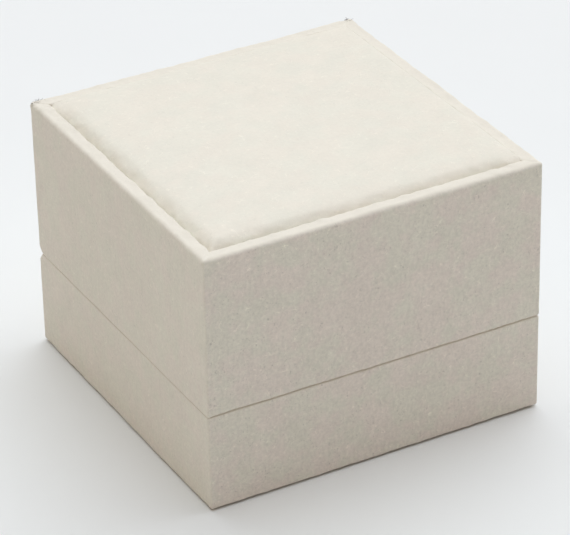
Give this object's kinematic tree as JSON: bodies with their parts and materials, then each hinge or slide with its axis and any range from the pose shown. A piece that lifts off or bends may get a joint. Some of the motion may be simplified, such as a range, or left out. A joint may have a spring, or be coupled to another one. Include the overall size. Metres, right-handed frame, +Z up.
{
  "type": "necklace box",
  "caption": "Square cloth-covered necklace box with a tall hinged lid, a padded panel in its top, and a lift-out velvet insert.",
  "frame": {"origin": "middle of the underside, on the surface the box stands on", "axes": "+Z up, the front faces -Y, the hinges are at the back, +Y; +X is to the right seen from the front"},
  "size_m": [0.09, 0.09, 0.0678],
  "materials": {
    "outer_cloth": "beige microfibre suede, short dense nap",
    "pad_cloth": "beige microfibre suede, short dense nap, padded",
    "foot_sheet": "matte dark brown paper",
    "foam": "soft open foam",
    "lining": "short velvet on thin card",
    "velvet": "short cream velvet",
    "satin": "cream satin",
    "ribbon": "satin ribbon",
    "magnet": "nickel plated",
    "nail": "brass plated",
    "hinge_metal": "brass plated sheet",
    "rigid_board": "grey rigid board"
  },
  "bodies": {
    "base": {"base_back_board": "rigid_board", "base_back_lining": "lining", "base_floor_board": "rigid_board", "base_floor_lining": "lining", "base_foot_sheet": "foot_sheet", "base_front_board": "rigid_board", "base_front_lining": "lining", "base_left_board": "rigid_board", "base_left_lining": "lining", "base_magnets": "magnet", "base_right_board": "rigid_board", "base_right_lining": "lining", "base_wrap": "outer_cloth", "hinge_base_leaf_left": "hinge_metal", "hinge_base_leaf_right": "hinge_metal", "hinge_base_nails": "nail", "hinge_pin_left": "hinge_metal", "hinge_pin_right": "hinge_metal", "insert_back_support": "rigid_board", "insert_front_support": "rigid_board", "insert_left_support": "rigid_board", "insert_right_support": "rigid_board"},
    "lid": {"ceiling_card": "rigid_board", "ceiling_cover": "satin", "ceiling_foam": "foam", "hinge_lid_leaf_left": "hinge_metal", "hinge_lid_leaf_right": "hinge_metal", "hinge_lid_nails": "nail", "lid_back_board": "rigid_board", "lid_back_lining": "lining", "lid_front_board": "rigid_board", "lid_front_lining": "lining", "lid_left_board": "rigid_board", "lid_left_lining": "lining", "lid_magnets": "magnet", "lid_pad_card": "rigid_board", "lid_pad_cover": "pad_cloth", "lid_pad_foam": "foam", "lid_right_board": "rigid_board", "lid_right_lining": "lining", "lid_top_board": "rigid_board", "lid_wrap": "outer_cloth"},
    "insert": {"insert_board": "rigid_board", "insert_foam": "foam", "insert_cover": "velvet", "insert_pull_tab": "ribbon", "chain_pouch": "satin"}
  },
  "joints": [
    {"name": "lid_hinge", "type": "hinge", "parent": "base", "child": "lid", "pos_m": [0, 0.0434, 0.0258], "axis": [-1, 0, 0], "range_deg": [0, 95]},
    {"name": "insert_lift", "type": "slide", "parent": "base", "child": "insert", "axis": [0, 0, 1], "range_m": [0, 0.012]}
  ]
}
